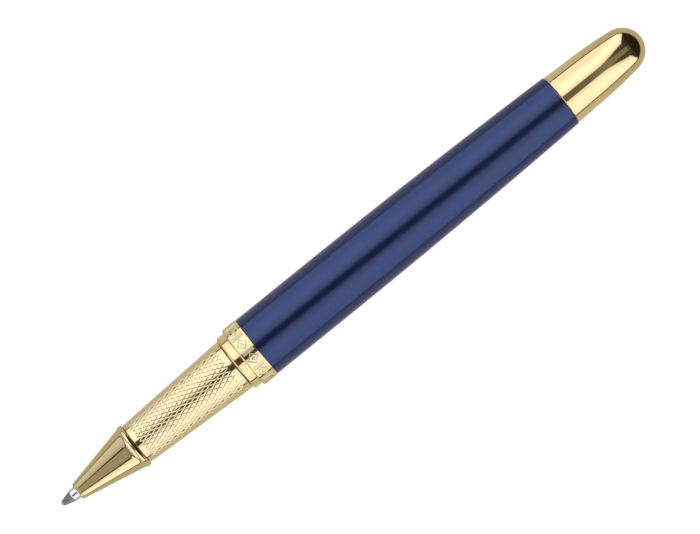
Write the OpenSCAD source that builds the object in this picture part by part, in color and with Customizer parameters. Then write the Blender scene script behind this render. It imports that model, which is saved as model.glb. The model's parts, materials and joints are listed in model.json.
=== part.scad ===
// Rollerball pen: screw-on section with a guilloche grip, lacquered barrel, domed end and a refill.
// Turned parts are drawn as [radius, station] outlines. A station is a distance from the ball's tip.

/* [Overall] */
// Length from the writing ball to the end of the dome
pen_len = 130; // [128:1:134]

/* [Nose cone] */
// Bare refill point ahead of the nose cone
point_out = 3.5; // [3:0.1:4]
// Length of the nose cone, bead included
nose_len = 13.4; // [13:0.1:14]
// Diameter of the cone just behind its rounded lip
nose_front_d = 3.3; // [3.2:0.05:3.6]
// Diameter of the cone where it flares into the bead
nose_back_d = 7.96; // [7.9:0.02:8.1]
// Diameter over the bead
bead_d = 8.84; // [8.7:0.02:9.1]

/* [Grip] */
// Length of the grip sleeve
grip_len = 22; // [20:0.5:24]
// Diameter of the grip at the nose
grip_front_d = 8.06; // [8:0.02:8.2]
// Diameter of the grip at the collar
grip_back_d = 10.12; // [10:0.02:10.4]

/* [Collar and band] */
// Parting line between the grip and the collar
parting_gap = 0.12; // [0.08:0.02:0.2]
// Length of the cap-stop collar
collar_len = 1.66; // [1.5:0.02:1.9]
// Diameter of the cap-stop collar
collar_d = 11.02; // [10.9:0.02:11.2]
// Length of the engraved band
band_len = 3.1; // [2.9:0.1:3.6]
// Diameter of the engraved band, the widest part of the pen
band_d = 12.1; // [12:0.02:12.4]

/* [Barrel] */
// Length of the lacquered tube
barrel_len = 68.2; // [67:0.2:69]
// Diameter of the straight stretch of the tube
barrel_d = 11.86; // [11.7:0.02:11.9]
// Diameter of the tube where it meets the dome
barrel_back_d = 10.12; // [10:0.02:10.4]
// Length of the straight stretch behind the band
barrel_straight = 14.2; // [10:0.2:20]
// Wall of the tube
tube_wall = 0.55; // [0.45:0.05:0.6]

/* [Dome] */
// Diameter of the dome at its open end
dome_d = 9.92; // [9.8:0.02:10]
// Length of the dome's nearly straight skirt
dome_skirt = 6; // [5:0.5:7]
// Length of the rounded end
dome_end = 3.7; // [3.4:0.1:4]
// Radius of the dome's long side curve
dome_side_radius = 80; // [70:5:100]

/* [Refill] */
// Diameter of the refill's tube
refill_d = 6; // [5.9:0.05:6]
// Length of the refill's tube
tube_len = 94.5; // [94:0.1:95]
// Diameter of the refill point's shank
point_d = 2.3; // [2.2:0.05:2.4]
// Diameter of the writing ball
ball_d = 0.7; // [0.6:0.05:0.8]

/* [Section thread] */
// Thread pitch
pitch = 0.75; // [0.75]
// Turns that free the section from the barrel
free_turns = 6; // [5:0.5:6]
// Diameter over the male thread
thread_d = 8.46; // [8.4:0.02:8.5]
// Height of the thread
thread_h = 0.4; // [0.35:0.01:0.4]

/* [Hidden] */
$fn = 96;

GOLD = "#e6c878";
BRASS = "#b89a4e";
LACQUER = "#1f2f73";
STEEL = "#b9bcc2";
BLACK_PLASTIC = "#26262a";
GREY_PLASTIC = "#6b6e75";

axis_z = band_d / 2;      // height of the pen's axis as it lies on a table
fit = 0.01;               // radial gap of two parts that are pressed or glued together
slip = 0.12;              // radial gap round the loose refill
seat_gap = 0.02;          // gap at a seat that two loose parts touch
chamfer = 0.12;           // edge break on turned parts

// Stations along the pen
nose_x = point_out;
grip_x = nose_x + nose_len;
grip_end_x = grip_x + grip_len;
collar_x = grip_end_x + parting_gap;
band_x = collar_x + collar_len;
barrel_x = band_x + band_len;
dome_x = barrel_x + barrel_len;

// Nose cone
nose_lip = 0.45;          // axial length of the rounded front lip
bead_r = 0.62;            // radius of the bead's section
bead_x = grip_x - 0.72;   // station of the bead's crest
flare_len = 1.35;         // length of the hollow flare into the bead
cone_end_x = bead_x - flare_len;

// Refill, from the tip back
ball_r = ball_d / 2;
ball_play = 0.02;
rim_x = 0.18;             // front edge of the ball's socket
point_shoulder_x = 2.35;  // end of the point's cone
point_end_x = 9;
seat_x = 13;              // front of the refill's shoulder
shoulder_len = 1;
tube_x = seat_x + shoulder_len;
tube_end_x = tube_x + tube_len;
plug_flange = 1.5;
plug_end_x = tube_end_x + plug_flange;
refill_r = refill_d / 2;
refill_in_r = refill_r - 0.28;
wick_r = 0.58;
wick_bore_r = wick_r + 0.04;

// Section core and its thread
guide_r = refill_r + slip;
spigot_r = 3.52;
core_r = 3.7;
core_shoulder_r = 4.3;
core_shoulder_x = grip_end_x - 1.5;
thread_crest_r = thread_d / 2;
thread_root_r = thread_crest_r - thread_h;
bush_wall_x = collar_x + 1.2;                            // front of the female thread
thread_end_x = bush_wall_x + free_turns * pitch;         // rear of the male thread
neck_end_x = bush_wall_x + 0.25;
core_end_x = thread_end_x + 3.6;
thread_steps = 24;        // facets in a turn of thread
thread_play = 0.04;       // gap on each flank
crest_flat = 0.11;        // width of the thread's crest
flank_angle = 30;
bush_len = 13.4;
bush_nose_r = 4.95;
tube_bore_r = barrel_d / 2 - tube_wall;
o_ring_r = 0.43;

// Rear of the barrel
taper_x = barrel_x + barrel_straight;
taper_radius = pow(dome_x - taper_x, 2) / (barrel_d - barrel_back_d);
end_seat_len = 8;         // straight seat for the end bush
end_seat_r = 4.48;
stud_r = 3.95;
cup_bore_r = 3.45;
cup_wall = 0.34;
cup_x = plug_end_x - 3;
cup_end_x = plug_end_x + 8.9;
cup_floor = 0.5;
liner_r = 4;
liner_bore_r = 3.4;

// Spring
wire_r = 0.2;
coil_r = 2.7;
closed_turns = 1;         // at each end
active_turns = 6;
coil_steps = 14;
wire_sides = 6;

// Thin bright line between the tube and the dome
dome_gap = 0.1;
dome_front_x = dome_x + dome_gap;
dome_bend_x = dome_front_x + dome_skirt;
dome_tip_x = pen_len - dome_end;

// Points of an arc round [radius, station] centre c
function arc(c, r, a0, a1, n = 8) = [
    for (i = [0:n]) let (a = a0 + (a1 - a0) * i / n) [c[0] + r * cos(a), c[1] + r * sin(a)]
];

// Points of a cubic curve that leaves a along da and reaches b along db
function curve(a, da, b, db, n = 8) = [
    for (i = [0:n]) let (t = i / n, u = 1 - t)
        u * u * u * a + 3 * u * u * t * (a + da) + 3 * u * t * t * (b - db) + t * t * t * b
];

// Outer radius of the tube: straight, then one long arc towards the dome
function tube_r(x) = x < taper_x ? barrel_d / 2 : barrel_d / 2 - pow(x - taper_x, 2) / (2 * taper_radius);

// Radius of the dome's side, which carries on the tube's slope and then curves in
skirt_slope = (dome_x - taper_x) / taper_radius;
function dome_side_r(x) =
    dome_d / 2 - skirt_slope * (x - dome_front_x) - pow(max(0, x - dome_bend_x), 2) / (2 * dome_side_radius);

// The rounded end is a quarter ellipse that starts tangent to the dome's side
tip_r = dome_side_r(dome_tip_x);
tip_drop = (skirt_slope + (dome_tip_x - dome_bend_x) / dome_side_radius) * dome_end;
tip_angle = asin(tip_drop / (tip_r - tip_drop));
tip_long = dome_end / (1 - sin(tip_angle));
tip_wide = tip_r / cos(tip_angle);

// Moves a child drawn along +Z from the origin to a station on the pen's axis
module at(station = 0) {
    translate([station - pen_len / 2, 0, axis_z]) rotate([0, 90, 0]) children();
}

// A turned part from its [radius, station] outline
module turned(outline) {
    at() rotate_extrude() polygon(outline);
}

// A plain turned tube
module tube(outer, inner, from, to) {
    turned([[inner, from], [outer, from], [outer, to], [inner, to]]);
}

// A plain drill through a stretch of the axis
module drill(r, from, to) {
    at(from) cylinder(r = r, h = to - from);
}

// Joins rings of the same number of points into one closed skin
module skin(rings) {
    n = len(rings);
    m = len(rings[0]);
    sides = [
        for (i = [0:n - 2]) for (j = [0:m - 1]) let (k = (j + 1) % m)
            each [[i * m + j, i * m + k, (i + 1) * m + k], [i * m + j, (i + 1) * m + k, (i + 1) * m + j]]
    ];
    caps = [for (j = [1:m - 2]) each [[0, j + 1, j], [(n - 1) * m, (n - 1) * m + j, (n - 1) * m + j + 1]]];
    polyhedron([for (ring = rings) each ring], concat(sides, caps));
}

// One thread ridge: a trapezoid swept along a right-hand helix between two stations.
// root and crest are its inner and outer radius, grow widens it, fade tapers its ends into the root.
module thread(root, crest, from, to, grow = 0, fade = 0) {
    steps = round((to - from) / pitch * thread_steps);
    flare = tan(flank_angle);
    at() skin([
        for (i = [0:steps]) let (
            x = from + i * pitch / thread_steps,
            turn = 360 * x / pitch,
            near_end = min(i, steps - i) / thread_steps,
            top = fade > 0 ? min(crest, root + 0.25 + (crest - root - 0.25) * near_end / fade) : crest,
            w_top = crest_flat / 2 + grow + (thread_crest_r - top) * flare,
            w_root = crest_flat / 2 + grow + (thread_crest_r - root) * flare
        ) [for (p = [[root, -w_root], [top, -w_top], [top, w_top], [root, w_root]])
            [p[0] * cos(turn), p[0] * sin(turn), x + p[1]]]
    ]);
}

module nose_cone() {
    back_r = nose_back_d / 2;
    lip_r = nose_front_d / 2;
    crest_r = bead_d / 2;
    slope = (back_r - lip_r) / (cone_end_x - nose_x - nose_lip);
    bore_r = point_d / 2 + slip;
    socket_r = spigot_r + fit;
    socket_x = grip_x - 2.5;
    outer = concat(
        curve([bore_r + 0.16, nose_x], [0.18, 0], [lip_r, nose_x + nose_lip], [0.2 * slope, 0.2], 6),
        curve(
            [back_r, cone_end_x], [slope * 0.7, 0.7],
            [crest_r - bead_r * (1 - cos(35)), bead_x - bead_r * sin(35)], [0.25, 0.25], 8
        ),
        arc([crest_r - bead_r, bead_x], bead_r, -30, 75, 9)
    );
    color(GOLD) turned(concat(
        [[bore_r, nose_x + 0.08]],
        outer,
        [
            [socket_r, grip_x - 0.06], [socket_r, socket_x], [guide_r, socket_x], [guide_r, seat_x - seat_gap],
            [refill_r - 0.3, seat_x - seat_gap], [1.86, nose_x + 1.95], [bore_r, nose_x + 1.95]
        ]
    ));
}

module grip_sleeve() {
    inner = core_r + fit;
    shoulder = core_shoulder_r + fit;
    color(GOLD) turned([
        [inner, grip_x], [grip_front_d / 2 - chamfer, grip_x], [grip_front_d / 2, grip_x + chamfer],
        [grip_back_d / 2, grip_end_x - chamfer], [grip_back_d / 2 - chamfer, grip_end_x],
        [shoulder, grip_end_x], [shoulder, core_shoulder_x - fit], [inner, core_shoulder_x - fit]
    ]);
}

module section_core() {
    pilot_r = thread_root_r - 0.2;
    color(BRASS) union() {
        turned([
            [guide_r, grip_x - 2.45], [spigot_r, grip_x - 2.45], [spigot_r, grip_x], [core_r, grip_x],
            [core_r, core_shoulder_x], [core_shoulder_r, core_shoulder_x], [core_shoulder_r, grip_end_x],
            [core_r, grip_end_x], [core_r, neck_end_x], [thread_root_r, neck_end_x],
            [thread_root_r, thread_end_x + 0.2], [pilot_r, thread_end_x + 0.4],
            [pilot_r, core_end_x - 0.3], [pilot_r - 0.3, core_end_x], [guide_r, core_end_x]
        ]);
        thread(
            thread_root_r - 0.12, thread_crest_r,
            neck_end_x + pitch / 2, thread_end_x - pitch / 2, fade = 0.25
        );
    }
}

module neck_o_ring() {
    centre = core_r + seat_gap + o_ring_r;
    color(BLACK_PLASTIC) at(grip_end_x + seat_gap + o_ring_r)
        rotate_extrude() translate([centre, 0]) circle(r = o_ring_r);
}

module thread_bush() {
    front = collar_x + 0.1;
    pocket_x = grip_end_x + 2 * o_ring_r + 2 * seat_gap + 0.02;
    pocket_r = core_r + 2 * o_ring_r + 0.1;
    minor_r = thread_root_r + 0.08;
    relief_r = thread_crest_r + 0.12;
    wall_end = thread_end_x + 1.2;
    rear = front + bush_len;
    cut_from = bush_wall_x - pitch - (bush_wall_x - pitch - neck_end_x) % pitch;
    color(BRASS) difference() {
        turned([
            [pocket_r, front], [bush_nose_r, front], [bush_nose_r, barrel_x],
            [tube_bore_r - fit, barrel_x], [tube_bore_r - fit, rear - 0.4], [tube_bore_r - 0.4, rear],
            [relief_r, rear], [relief_r, wall_end], [minor_r, wall_end], [minor_r, bush_wall_x],
            [minor_r + 0.25, pocket_x], [pocket_r, pocket_x]
        ]);
        thread(
            minor_r - 0.1, thread_crest_r + 0.07,
            neck_end_x + pitch / 2 - 2 * pitch, wall_end + pitch, grow = thread_play
        );
    }
}

module cap_stop_collar() {
    inner = bush_nose_r + fit;
    outer = collar_d / 2;
    round = 0.36;
    color(GOLD) turned(concat(
        [[inner, collar_x], [outer - round, collar_x]],
        arc([outer - round, collar_x + round], round, -90, 0, 8),
        [[outer, band_x], [inner, band_x]]
    ));
}

module engraved_band() {
    inner = bush_nose_r + fit;
    outer = band_d / 2;
    front_round = 0.3;
    rear_chamfer = 0.06;
    color(GOLD) turned(concat(
        [[inner, band_x]],
        arc([outer - front_round, band_x + front_round], front_round, -90, 0, 8),
        [[outer, barrel_x - rear_chamfer], [outer - rear_chamfer, barrel_x], [inner, barrel_x]]
    ));
}

module barrel_tube() {
    steps = 20;
    edge = 0.1;
    seat_x0 = dome_x - end_seat_len;
    last_x = dome_x - edge;
    bore_steps = 14;
    color(LACQUER) turned(concat(
        [[tube_bore_r, barrel_x], [barrel_d / 2 - edge, barrel_x], [barrel_d / 2, barrel_x + edge]],
        [for (i = [0:steps]) let (x = taper_x + (last_x - taper_x) * i / steps) [tube_r(x), x]],
        [[barrel_back_d / 2 - edge, dome_x], [end_seat_r, dome_x], [end_seat_r, seat_x0]],
        [for (i = [bore_steps:-1:0]) let (x = taper_x + (seat_x0 - 1 - taper_x) * i / bore_steps)
            [tube_r(x) - tube_wall, x]]
    ));
}

module barrel_liner() {
    from = collar_x + 0.1 + bush_len + 0.1;
    to = dome_x - end_seat_len + 0.3;
    foot = 1.2;
    color(BLACK_PLASTIC) turned([
        [liner_bore_r, from], [tube_bore_r - fit, from], [tube_bore_r - fit, from + foot], [liner_r, from + foot],
        [liner_r, to], [liner_bore_r, to]
    ]);
}

module end_bush() {
    color(BRASS) turned([
        [stud_r + fit, dome_x - end_seat_len + 0.4], [end_seat_r - fit - 0.2, dome_x - end_seat_len + 0.4],
        [end_seat_r - fit, dome_x - end_seat_len + 0.6], [end_seat_r - fit, dome_x - 0.05],
        [stud_r + fit, dome_x - 0.05]
    ]);
}

module end_dome() {
    stud_x = cup_x - 0.2;
    side_steps = 10;
    tip_steps = 18;
    edge = 0.14;
    tip_x = pen_len - tip_long;
    color(GOLD) turned(concat(
        [
            [cup_bore_r, stud_x], [stud_r - 0.15, stud_x], [stud_r, stud_x + 0.15], [stud_r, dome_front_x],
            [dome_d / 2 - edge, dome_front_x], [dome_side_r(dome_front_x + edge), dome_front_x + edge]
        ],
        [for (i = [0:side_steps]) let (x = dome_bend_x + (dome_tip_x - dome_bend_x) * i / side_steps)
            [dome_side_r(x), x]],
        [for (i = [1:tip_steps]) let (a = tip_angle + (90 - tip_angle) * i / tip_steps)
            [tip_wide * cos(a), tip_x + tip_long * sin(a)]],
        [[0, cup_end_x + 0.6], [cup_bore_r, cup_end_x]]
    ));
}

module spring_cup() {
    outer = cup_bore_r - fit;
    inner = outer - cup_wall;
    floor_x = cup_end_x - cup_floor;
    color(GREY_PLASTIC) turned([
        [inner + 0.15, cup_x], [outer - 0.05, cup_x], [outer, cup_x + 0.1], [outer, cup_end_x - 0.05],
        [0.8, cup_end_x - 0.05], [0.8, floor_x], [inner, floor_x], [inner, cup_x + 0.3]
    ]);
}

module refill_spring() {
    from = plug_end_x + seat_gap + wire_r;
    to = cup_end_x - cup_floor - seat_gap - wire_r;
    closed = closed_turns * (2 * wire_r + 0.03);
    turns = 2 * closed_turns + active_turns;
    rise = to - from - 2 * closed;
    steps = turns * coil_steps;
    function height(t) =
        t < closed_turns ? closed * t / closed_turns
        : t > turns - closed_turns ? closed + rise + closed * (t - turns + closed_turns) / closed_turns
        : closed + rise * (t - closed_turns) / active_turns;
    color(STEEL) at(from) skin([
        for (i = [0:steps]) let (t = i / coil_steps, turn = 360 * t)
            [for (k = [0:wire_sides - 1]) let (a = 360 * k / wire_sides, r = coil_r + wire_r * cos(a))
                [r * cos(turn), r * sin(turn), height(t) + wire_r * sin(a)]]
    ]);
}

module refill_tube() {
    color(STEEL) tube(refill_r, refill_in_r, tube_x, tube_end_x);
}

module ink_reservoir() {
    from = tube_x + 4.3;
    pocket_end = from + 6;
    color("#39406b") turned([
        [wick_r + 0.03, from], [refill_in_r - 0.04, from], [refill_in_r - 0.04, tube_end_x - 2.5],
        [0, tube_end_x - 2.5], [0, pocket_end], [wick_r + 0.03, pocket_end]
    ]);
}

module feed_wick() {
    color("#d9d6c6") drill(wick_r, 1.75, tube_x + 10);
}

module refill_nose() {
    front = nose_x + 2;
    shank_r = point_d / 2 + fit;
    color(BLACK_PLASTIC) turned([
        [shank_r, front], [1.6, front], [1.75, front + 0.2], [refill_r - 0.45, seat_x - 0.1],
        [refill_r - 0.45, seat_x], [refill_r, seat_x], [refill_r, tube_x], [refill_in_r - fit, tube_x],
        [refill_in_r - fit, tube_x + 4], [wick_bore_r, tube_x + 4], [wick_bore_r, point_end_x + 0.05],
        [shank_r, point_end_x + 0.05]
    ]);
}

module refill_end_plug() {
    vent_r = 0.35;
    stub_r = 1.75;
    stub_len = 1.6;
    color(GREY_PLASTIC) turned([
        [vent_r, tube_end_x - 2.2], [refill_in_r - fit, tube_end_x - 2.2], [refill_in_r - fit, tube_end_x],
        [refill_r, tube_end_x], [refill_r, plug_end_x - 0.15], [refill_r - 0.15, plug_end_x],
        [stub_r, plug_end_x], [stub_r, plug_end_x + stub_len - 0.3], [stub_r - 0.3, plug_end_x + stub_len],
        [vent_r, plug_end_x + stub_len]
    ]);
}

module ball_point() {
    rim_r = ball_r + 0.09;
    channel_r = 0.2;
    color(STEEL) difference() {
        turned([
            [0, rim_x], [rim_r, rim_x], [rim_r + 0.1, rim_x + 0.25], [point_d / 2 - 0.1, point_shoulder_x - 0.1],
            [point_d / 2, point_shoulder_x], [point_d / 2, point_end_x - 0.1], [point_d / 2 - 0.1, point_end_x],
            [wick_bore_r, point_end_x], [wick_bore_r, 1.7], [channel_r, 1.5], [channel_r, ball_r], [0, ball_r]
        ]);
        at(ball_r) sphere(r = ball_r + ball_play);
    }
}

module writing_ball() {
    color(STEEL) at(ball_r) sphere(r = ball_r);
}

nose_cone();
grip_sleeve();
section_core();
neck_o_ring();
thread_bush();
cap_stop_collar();
engraved_band();
barrel_tube();
barrel_liner();
end_bush();
end_dome();
spring_cup();
refill_spring();
refill_tube();
ink_reservoir();
feed_wick();
refill_nose();
refill_end_plug();
ball_point();
writing_ball();
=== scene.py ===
"""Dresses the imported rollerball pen: fine turned meshes, cut patterns, finishes, a light tent and a camera."""

import json
import logging
import math
from dataclasses import dataclass
from enum import Enum
from typing import Callable, Iterable, NamedTuple, Optional, Sequence, Union

import bmesh
import bpy
import numpy as np
from mathutils import Matrix, Vector


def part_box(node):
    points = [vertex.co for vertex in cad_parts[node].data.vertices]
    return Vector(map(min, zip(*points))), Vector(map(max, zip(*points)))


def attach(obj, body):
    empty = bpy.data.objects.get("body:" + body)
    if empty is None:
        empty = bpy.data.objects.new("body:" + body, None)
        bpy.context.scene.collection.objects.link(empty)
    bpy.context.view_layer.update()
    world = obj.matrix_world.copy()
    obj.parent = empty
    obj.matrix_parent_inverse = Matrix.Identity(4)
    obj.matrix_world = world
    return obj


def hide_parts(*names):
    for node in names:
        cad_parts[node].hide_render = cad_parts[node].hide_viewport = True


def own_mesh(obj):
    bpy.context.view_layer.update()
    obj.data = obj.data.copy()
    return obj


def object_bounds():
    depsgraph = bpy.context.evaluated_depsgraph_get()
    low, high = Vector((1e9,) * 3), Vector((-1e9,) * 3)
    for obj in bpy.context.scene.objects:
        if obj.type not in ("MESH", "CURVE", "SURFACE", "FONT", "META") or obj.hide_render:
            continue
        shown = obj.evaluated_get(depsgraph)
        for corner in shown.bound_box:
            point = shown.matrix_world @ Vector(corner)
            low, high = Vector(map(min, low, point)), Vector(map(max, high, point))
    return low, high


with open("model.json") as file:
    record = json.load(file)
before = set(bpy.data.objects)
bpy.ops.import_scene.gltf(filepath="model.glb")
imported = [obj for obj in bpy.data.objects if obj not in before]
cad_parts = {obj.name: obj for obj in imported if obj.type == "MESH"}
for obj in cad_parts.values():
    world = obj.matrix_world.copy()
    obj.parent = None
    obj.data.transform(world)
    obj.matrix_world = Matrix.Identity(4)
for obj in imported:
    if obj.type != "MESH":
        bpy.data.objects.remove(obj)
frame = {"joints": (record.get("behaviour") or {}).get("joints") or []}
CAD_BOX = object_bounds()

log = logging.getLogger("pen")

MM = 0.001
FULL_TURN = 2.0 * math.pi

Colour = tuple[float, float, float]
Corner = tuple[float, float]
Outline = list[Corner]


# ---- Shader sums ----


def operator(operation: str, reflected: bool = False) -> Callable[["Sock", "Value"], "Sock"]:
    """Makes the method behind one operator of two values.

    Args:
        operation: the Math node's operation.
        reflected: whether the other value comes first.

    Returns:
        The method.
    """

    def method(self: "Sock", other: "Value") -> "Sock":
        """Adds the Math node."""
        return self.maths(operation, other, self) if reflected else self.maths(operation, self, other)

    return method


class Sock:
    """A value on its way between shader nodes, on which sums are written as ordinary maths."""

    def __init__(self, bench: "Bench", socket: bpy.types.NodeSocket) -> None:
        """Wraps a socket of a bench's tree."""
        self.bench, self.socket = bench, socket

    def maths(self, operation: str, *values: "Value") -> "Sock":
        """The result of one Math node over the values."""
        return self.bench.node("ShaderNodeMath", {"operation": operation}, dict(enumerate(values)))

    __add__, __radd__ = operator("ADD"), operator("ADD", True)
    __sub__, __rsub__ = operator("SUBTRACT"), operator("SUBTRACT", True)
    __mul__, __rmul__ = operator("MULTIPLY"), operator("MULTIPLY", True)
    __truediv__, __rtruediv__ = operator("DIVIDE"), operator("DIVIDE", True)
    __gt__, __lt__ = operator("GREATER_THAN"), operator("LESS_THAN")
    least, most = operator("MINIMUM"), operator("MAXIMUM")

    def __neg__(self) -> "Sock":
        """-self."""
        return self * -1.0

    def __abs__(self) -> "Sock":
        """The size of self without its sign."""
        return self.maths("ABSOLUTE", self)

    def rise(self, low: float, high: float, top: float = 1.0) -> "Sock":
        """A smooth step from 0, where self is at low, to top, where it is at high."""
        inputs = dict(enumerate((self, low, high, 0.0, top)))
        return self.bench.node("ShaderNodeMapRange", {"interpolation_type": "SMOOTHSTEP"}, inputs)


Value = Union[float, int, Sock, Sequence[float]]


class Bench:
    """The node tree of one material or of the world, and the nodes that the finishes share."""

    def __init__(self, tree: bpy.types.NodeTree) -> None:
        """Takes over a tree and empties it."""
        self.tree = tree
        tree.nodes.clear()

    def node(
        self, kind: str, settings: Optional[dict] = None, inputs: Optional[dict] = None, out: Union[int, str] = 0
    ) -> Sock:
        """Makes any node.

        Args:
            kind: the node's type.
            settings: its settings, set first.
            inputs: links, numbers, vectors or colours for its sockets, by name or number.
            out: which output to hand back.

        Returns:
            The chosen output, or the node's first input where it has no output.
        """
        made = self.tree.nodes.new(kind)
        for name, value in (settings or {}).items():
            setattr(made, name, value)
        for name, value in (inputs or {}).items():
            slot = made.inputs[name]
            if isinstance(value, Sock):
                self.tree.links.new(value.socket, slot)
            elif hasattr(value, "__len__"):
                slot.default_value = (*value, 1.0)[:len(slot.default_value)]
            else:
                slot.default_value = value
        return Sock(self, made.outputs[out] if len(made.outputs) else made.inputs[0])

    def split(self, vector: Sock) -> tuple[Sock, Sock, Sock]:
        """A vector's three values."""
        parts = self.node("ShaderNodeSeparateXYZ", inputs={0: vector}).socket.node.outputs
        return tuple(Sock(self, part) for part in parts)

    def place(self) -> tuple[Sock, Sock, Sock]:
        """A point's station, side and height in millimetres, the last two counted from the pen's axis."""
        x, y, z = self.split(self.node("ShaderNodeTexCoord", out="Object"))
        return x / MM, y / MM, z / MM - AXIS.height

    def vector(self, x: Value, y: Value, z: Value) -> Sock:
        """Three values as one vector."""
        return self.node("ShaderNodeCombineXYZ", inputs={0: x, 1: y, 2: z})

    def noise(self, where: Sock, scale: float, detail: float = 3.0, roughness: float = 0.6) -> Sock:
        """A noise value from 0 to 1, with so many lumps to a unit and octaves of the given weight."""
        inputs = {"Vector": where, "Scale": scale, "Detail": detail, "Roughness": roughness}
        return self.node("ShaderNodeTexNoise", inputs=inputs)

    def blend(self, share: Value, first: Value, second: Value) -> Sock:
        """The first colour with a share of the second mixed in."""
        return self.node("ShaderNodeMix", {"data_type": "RGBA"}, {0: share, 6: first, 7: second}, out=2)

    def bump(self, height: Sock, depth: float, under: Optional[Sock] = None) -> Sock:
        """The normal of a relief whose height of 1 is depth millimetres, laid on another one if given."""
        inputs = {"Height": height, "Distance": depth * MM, "Strength": 1.0}
        return self.node("ShaderNodeBump", inputs=inputs | ({"Normal": under} if under else {}))

    def principled(self, **inputs: Value) -> Sock:
        """A Principled shader, its sockets named with _ for each space."""
        return self.node("ShaderNodeBsdfPrincipled", inputs={k.replace("_", " "): v for k, v in inputs.items()})


# ---- Finishes ----

CUT = "cut"


def toned(colour: Colour, gain: float) -> Colour:
    """A colour made lighter or darker."""
    return tuple(gain * c for c in colour)


@dataclass(frozen=True)
class Finish:
    """What every finish has: a name, a colour and a roughness."""

    name: str
    colour: Colour
    roughness: float

    def material(self) -> bpy.types.Material:
        """Makes the material, or hands back the one made before."""
        name = f"{self.name}_finish"
        made = bpy.data.materials.get(name)
        if not made:
            made = bpy.data.materials.new(name)
            made.use_nodes = True
            made.diffuse_color = (*self.colour, 1.0)
            bench = Bench(made.node_tree)
            bench.node("ShaderNodeOutputMaterial", inputs={"Surface": self.shade(bench)})
        return made

    def shade(self, bench: Bench) -> Sock:
        """The finish's shader."""
        raise NotImplementedError


@dataclass(frozen=True)
class Metal(Finish):
    """A bare or plated metal, with turning marks, lines to a millimetre, and cuts if it has a cut_colour."""

    lines: float = 26.0
    depth: float = 0.00012
    smudge: float = 0.03
    cut_colour: Optional[Colour] = None
    cut_roughness: float = 0.3
    dulling: float = 0.86

    def shade(self, bench: Bench) -> Sock:
        """Polish that varies a little, faint rings from the lathe, and cuts of their own colour.

        Args:
            bench: the material's tree.

        Returns:
            The shader.
        """
        x, y, z = bench.place()
        patches = bench.noise(bench.vector(x, y, z), 0.35)
        relief = bench.noise(bench.vector(x * self.lines, y * 0.25, z * 0.25), 1.0, 2.0)
        wipes = bench.noise(bench.vector(x * 0.3, y * 2.6, z * 2.6), 1.4, 3.0, 0.7)
        rough = self.roughness + self.smudge * (patches - 0.5) + 0.5 * self.smudge * (wipes - 0.5)
        tint = bench.blend(patches.rise(0.3, 0.7, 0.1), self.colour, toned(self.colour, self.dulling))
        if self.cut_colour:
            cut = bench.node("ShaderNodeAttribute", {"attribute_name": CUT}, out="Fac")
            grit = bench.noise(bench.vector(x, y, z), 26.0, 2.0, 0.7)
            rough = rough + cut * (self.cut_roughness - self.roughness) + cut * (grit - 0.5) * 0.12
            tint = bench.blend(cut, tint, self.cut_colour)
            relief = relief + cut * grit * 6.0
        return bench.principled(
            Base_Color=tint, Metallic=1.0, Roughness=rough, Normal=bench.bump(relief, self.depth)
        )


@dataclass(frozen=True)
class Lacquer(Finish):
    """Satin lacquer over metal, with fine flakes and an orange-peel skin.

    The coat is given by its weight, roughness and refractive index.
    """

    flake: float = 15.0
    coat: tuple[float, float, float] = (0.82, 0.2, 1.6)
    edge_tint: Colour = (0.1, 0.38, 1.0)

    def shade(self, bench: Bench) -> Sock:
        """Flakes that catch the light one by one, thin clouds in the pigment, and worn-smooth patches.

        Args:
            bench: the material's tree.

        Returns:
            The shader.
        """
        where = bench.vector(*bench.place())
        flakes = bench.node("ShaderNodeTexVoronoi", inputs={"Vector": where, "Scale": self.flake}, out="Color")
        spark = bench.node("ShaderNodeSeparateColor", inputs={0: flakes})
        clouds = bench.noise(where, 0.22)
        peel = bench.noise(where, 3.2, 1.0, 0.4)
        dark, light = toned(self.colour, 0.75), toned(self.colour, 1.3)
        tint = bench.blend(spark.rise(0.25, 0.95), dark, light)
        weight, roughness, index = self.coat
        return bench.principled(
            Base_Color=bench.blend(clouds.rise(0.3, 0.7, 0.18), tint, dark), Metallic=1.0,
            Roughness=self.roughness + 0.05 * (clouds - 0.5) + 0.06 * (spark - 0.5),
            Normal=bench.bump(peel, 0.001, bench.bump(spark, 0.0003)), Specular_Tint=self.edge_tint,
            Coat_Weight=weight, Coat_Roughness=roughness, Coat_IOR=index,
        )


@dataclass(frozen=True)
class Moulded(Finish):
    """Plastic or rubber from a mould, with grains to a millimetre, depth millimetres deep."""

    grain: float = 14.0
    depth: float = 0.003
    specular: float = 0.4

    def shade(self, bench: Bench) -> Sock:
        """A fine mould texture, flow marks and a slightly uneven colour.

        Args:
            bench: the material's tree.

        Returns:
            The shader.
        """
        x, y, z = bench.place()
        grain = bench.noise(bench.vector(x, y, z), self.grain, 2.0)
        flow = bench.noise(bench.vector(x * 0.3, y, z), 0.9)
        return bench.principled(
            Base_Color=bench.blend(flow.rise(0.3, 0.7, 0.5), self.colour, toned(self.colour, 1.35)),
            Roughness=self.roughness + 0.14 * (grain - 0.5) + 0.08 * (flow - 0.5),
            Specular_IOR_Level=self.specular, Normal=bench.bump(grain, self.depth),
        )


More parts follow.
